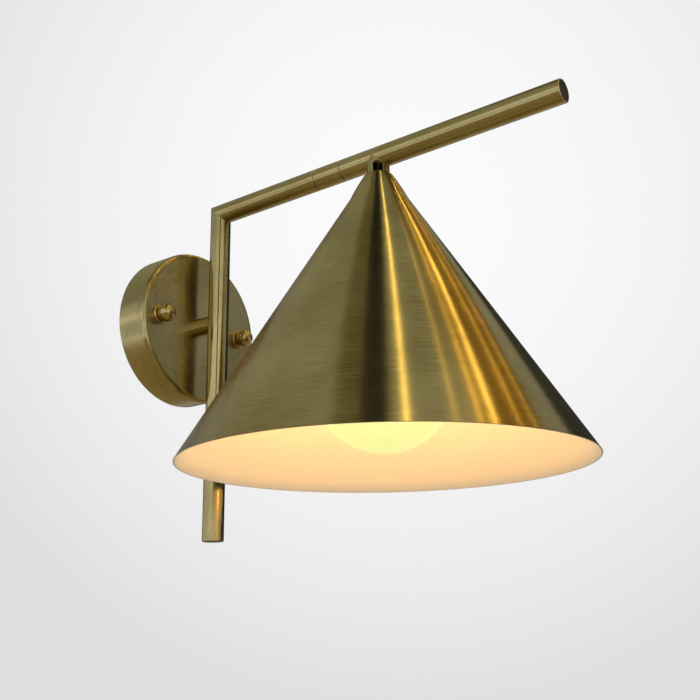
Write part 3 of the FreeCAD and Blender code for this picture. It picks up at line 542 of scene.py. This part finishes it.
# A place is bounded by sides, each a direction and the two facings between which it eases in.
LIT_PLACES = (  # how bright, then the sides: a window band, a door and a far wall, all on the left
    (1.1, (UP, 0.10, 0.18), (DOWN, -0.34, -0.22), ((-1.0, -0.15, 0.0), 0.1, 0.6)),
    (0.75, ((-0.8, -0.6, 0.0), 0.35, 0.85), (DOWN, -0.55, -0.35)),
    (0.4, ((-0.85, 0.5, 0.0), 0.3, 0.7), (UP, -0.35, -0.05), (DOWN, -0.50, -0.35)),
)
DARK_PLACES = (  # how much is taken away, then the side: the right, and behind the wall light
    (0.88, (0.9, 0.05, -0.30), 0.55, 0.60),
    (0.35, (0.6, 0.75, 0.0), 0.6, 0.9),
)
BRIGHT_GAIN, DIM_GLOW, PLAIN_LIGHT = 0.75, 0.355, 0.35
BACKDROP_GLOW = (0.765, 0.496, 0.411)  # the way to the brightest place of the backdrop, behind the shade


def surround():
    """Camera rays see pale paper. Metal sees a bright left side, a dim warm ceiling and a dark right side."""
    world = bpy.data.worlds.new("studio")
    bpy.context.scene.world = world
    world.use_nodes = True
    tree = world.node_tree
    tree.nodes.clear()
    out = tree.nodes.new("ShaderNodeOutputWorld")
    way = add_node(tree, "ShaderNodeTexCoord").outputs["Generated"]

    def side(towards, start, full):
        """How far each direction lies towards one side, eased from 0 at start to 1 at full."""
        facing = add_node(tree, "ShaderNodeVectorMath", {"operation": "DOT_PRODUCT"}, _0=way, _1=towards)
        eased = {"interpolation_type": "SMOOTHSTEP"}
        ramp = add_node(tree, "ShaderNodeMapRange", eased, From_Min=start, From_Max=full)
        tree.links.new(facing.outputs["Value"], ramp.inputs["Value"])
        return ramp.outputs[0]

    bright = 0.0
    for level, *bounds in LIT_PLACES:
        for bound in bounds:
            level = add_node(tree, "ShaderNodeMath", MULTIPLY, _0=level, _1=side(*bound)).outputs[0]
        bright = add_node(tree, "ShaderNodeMath", MAXIMUM, _0=bright, _1=level).outputs[0]
    white_share = {"_0": bright, "_1": side(DOWN, -0.70, -0.35)}
    white = add_node(tree, "ShaderNodeMath", {"operation": "MAXIMUM", "use_clamp": True}, **white_share)
    colour = add_node(tree, "ShaderNodeMix", COLOURS, Factor=white.outputs[0])
    colour.inputs[6].default_value = linear("#FDFAD6")
    colour.inputs[7].default_value = linear("#F6F6F0")
    grow = {"operation": "MULTIPLY_ADD"}
    strength = add_node(tree, "ShaderNodeMath", grow, _0=bright, _1=BRIGHT_GAIN, _2=DIM_GLOW).outputs[0]
    for depth, *bound in DARK_PLACES:
        left_over = add_node(tree, "ShaderNodeMath", grow, _0=side(*bound), _1=-depth, _2=1.0).outputs[0]
        strength = add_node(tree, "ShaderNodeMath", MULTIPLY, _0=strength, _1=left_over).outputs[0]
    metal_sees = add_node(tree, "ShaderNodeBackground", Color=colour.outputs[2], Strength=strength)
    glow = add_node(tree, "ShaderNodeVectorMath", {"operation": "DOT_PRODUCT"}, _0=way, _1=BACKDROP_GLOW)
    pale = add_node(tree, "ShaderNodeMapRange", From_Min=0.87, From_Max=1.0, To_Min=0.735, To_Max=0.96)
    tree.links.new(glow.outputs["Value"], pale.inputs["Value"])
    camera_sees = add_node(tree, "ShaderNodeBackground", Color=(1.0, 1.0, 1.0, 1.0), Strength=pale.outputs[0])
    lights_with = add_node(tree, "ShaderNodeBackground", Color=(1.0, 1.0, 1.0, 1.0), Strength=PLAIN_LIGHT)
    ray = add_node(tree, "ShaderNodeLightPath").outputs
    unseen = {"_1": lights_with.outputs[0], "_2": metal_sees.outputs[0]}
    behind = add_node(tree, "ShaderNodeMixShader", _0=ray["Is Glossy Ray"], **unseen)
    through = {"_0": ray["Is Camera Ray"], "_1": ray["Is Transmission Ray"]}
    seen = add_node(tree, "ShaderNodeMath", MAXIMUM, **through).outputs[0]
    both = add_node(tree, "ShaderNodeMixShader", _0=seen, _1=behind.outputs[0], _2=camera_sees.outputs[0])
    tree.links.new(both.outputs[0], out.inputs["Surface"])


surround()
bpy.context.scene.view_settings.view_transform = "Standard"
print("bright places:", len(LIT_PLACES), "dark places:", len(DARK_PLACES))

# %% The floor
PALE = "#F1F1F1"
FLOOR_Z = -1.1
FLOOR_R = 9.0
FIBRES_PER_METRE = 140.0  # soft marks in the paper about 7 mm across, larger than real fibres


def floor():
    """A wide round sheet of pale paper under the lamp."""
    mesh = bmesh.new()
    bmesh.ops.create_circle(mesh, cap_ends=True, segments=96, radius=FLOOR_R)
    bmesh.ops.translate(mesh, vec=(0.0, SHADE_AXIS.y, FLOOR_Z), verts=mesh.verts)
    data = bpy.data.meshes.new("studio_floor")
    mesh.to_mesh(data)
    mesh.free()
    piece = bpy.data.objects.new("studio_floor", data)
    bpy.context.scene.collection.objects.link(piece)
    finish, tree, end = new_finish("pale_paper")
    spot = add_node(tree, "ShaderNodeTexCoord").outputs["Object"]
    fibre = add_node(tree, "ShaderNodeTexNoise", Vector=spot, Scale=FIBRES_PER_METRE, Detail=3.0).outputs[0]
    tone = add_node(tree, "ShaderNodeMix", COLOURS, Factor=fibre)
    tone.inputs[6].default_value = linear("#ECECEC")
    tone.inputs[7].default_value = linear("#F2F2F2")
    paper = add_node(tree, "ShaderNodeBsdfDiffuse", Color=tone.outputs[2])
    glow = add_node(tree, "ShaderNodeEmission", Color=linear(PALE), Strength=0.62)
    lit = add_node(tree, "ShaderNodeAddShader", _0=paper.outputs[0], _1=glow.outputs[0])
    ray = add_node(tree, "ShaderNodeLightPath").outputs
    sees = add_node(tree, "ShaderNodeMath", MAXIMUM, _0=ray["Is Camera Ray"], _1=ray["Is Glossy Ray"])
    end(add_node(tree, "ShaderNodeMixShader", _0=sees.outputs[0], _1=paper.outputs[0], _2=lit.outputs[0]))
    data.materials.append(finish)


floor()
print("studio floor at", FLOOR_Z, "m")

# %% [markdown]
# ## The lamps and cards
# A narrow lamp becomes one streak on the brushed shade, from its top to its rim, so the photograph's streaks
# were measured and each lamp's two ends lie in the directions that the shade reflects there. Dark cards
# beside the lamps make the dark bands, an amber card behind them warms the gaps, and a brown table below
# darkens the underside of the arm.

# %% Strip lamps overhead and cards round them
LAMP_FAR = 2.0
AIM = SHADE_AXIS + Vector((0.0, 0.0, -0.02))


def plain(name, colour, glow):
    """A card's finish: one colour that glows evenly."""
    finish, tree, end = new_finish(name)
    end(add_node(tree, "ShaderNodeEmission", Color=linear(colour), Strength=glow))
    return finish


def card(name, corners, finish):
    """A studio card that only the metal's reflections can see."""
    mesh = bmesh.new()
    mesh.faces.new([mesh.verts.new(c) for c in corners])
    data = bpy.data.meshes.new(name)
    mesh.to_mesh(data)
    mesh.free()
    data.materials.append(finish)
    piece = bpy.data.objects.new(name, data)
    bpy.context.scene.collection.objects.link(piece)
    piece.visible_camera = piece.visible_diffuse = piece.visible_shadow = False
    piece.visible_transmission = False


def strip_lamp(name, near_end, far_end, width, power, colour):
    """A narrow soft lamp whose ends lie in two directions as seen from the shade."""
    a = AIM + Vector(near_end).normalized() * LAMP_FAR
    b = AIM + Vector(far_end).normalized() * LAMP_FAR
    lamp = bpy.data.lights.new(name, "AREA")
    lamp.shape = "RECTANGLE"
    lamp.size = (b - a).length
    lamp.size_y = width
    lamp.energy = power
    lamp.color = linear(colour)[:3]
    piece = bpy.data.objects.new(name, lamp)
    along = (b - a).normalized()
    back = ((a + b) / 2 - AIM).normalized()
    back = (back - along * back.dot(along)).normalized()
    turned = Matrix((along, back.cross(along), back)).transposed().to_4x4()
    piece.matrix_world = Matrix.Translation((a + b) / 2) @ turned
    bpy.context.scene.collection.objects.link(piece)


def strip_flag(name, near_end, far_end, width, glow, colour="#6A5A3A", far=LAMP_FAR):
    """A card beside or behind the strip lamps, placed in the same way."""
    a, b = Vector(near_end).normalized(), Vector(far_end).normalized()
    sideways = a.cross(b).normalized() * width / 2
    around = ((a, sideways), (b, sideways), (b, -sideways), (a, -sideways))
    corners = [AIM + end * far + shift for end, shift in around]
    card(name, corners, plain(name, colour, glow))


strip_lamp("strip_main", (0.30, 0.13, 0.94), (-0.63, -0.61, 0.48), 0.030, 1.6, "#FFE080")
strip_lamp("strip_second", (0.42, 0.06, 0.91), (-0.33, -0.82, 0.47), 0.016, 0.40, "#FFD265")
strip_lamp("strip_third", (0.49, 0.04, 0.87), (-0.14, -0.87, 0.46), 0.016, 0.75, "#FFD265")
strip_lamp("strip_bright", (0.55, 0.04, 0.84), (-0.03, -0.89, 0.46), 0.020, 2.0, "#FFD673")
strip_lamp("strip_fifth", (0.63, 0.06, 0.77), (0.22, -0.87, 0.45), 0.016, 0.55, "#FFCE6A")
strip_lamp("strip_sixth", (0.69, 0.10, 0.72), (0.38, -0.82, 0.44), 0.018, 0.35, "#FFCE6A")
strip_flag("card_amber", (0.60, 0.05, 0.80), (0.14, -0.87, 0.47), 0.85, 0.26, "#FFBB38", 2.1)
strip_flag("flag_overhead", (0.455, 0.33, 0.83), (-0.69, -0.375, 0.62), 0.30, 0.06, "#55573A")
strip_flag("flag_beside", (0.44, 0.40, 0.80), (-0.76, -0.22, 0.61), 0.26, 1.1, "#6B6440")
strip_flag("flag_window", (-0.78, -0.54, 0.10), (-0.76, -0.53, 0.55), 0.40, 0.5)
TABLE_Z, TABLE_HALF = -0.95, 3.0
corners = ((-1, -1), (1, -1), (1, 1), (-1, 1))
table = [(x * TABLE_HALF, SHADE_AXIS.y + y * TABLE_HALF, TABLE_Z) for x, y in corners]
card("dark_table", table, plain("dark_table", "#8A7853", 1.2))
print("strip lamps hung")
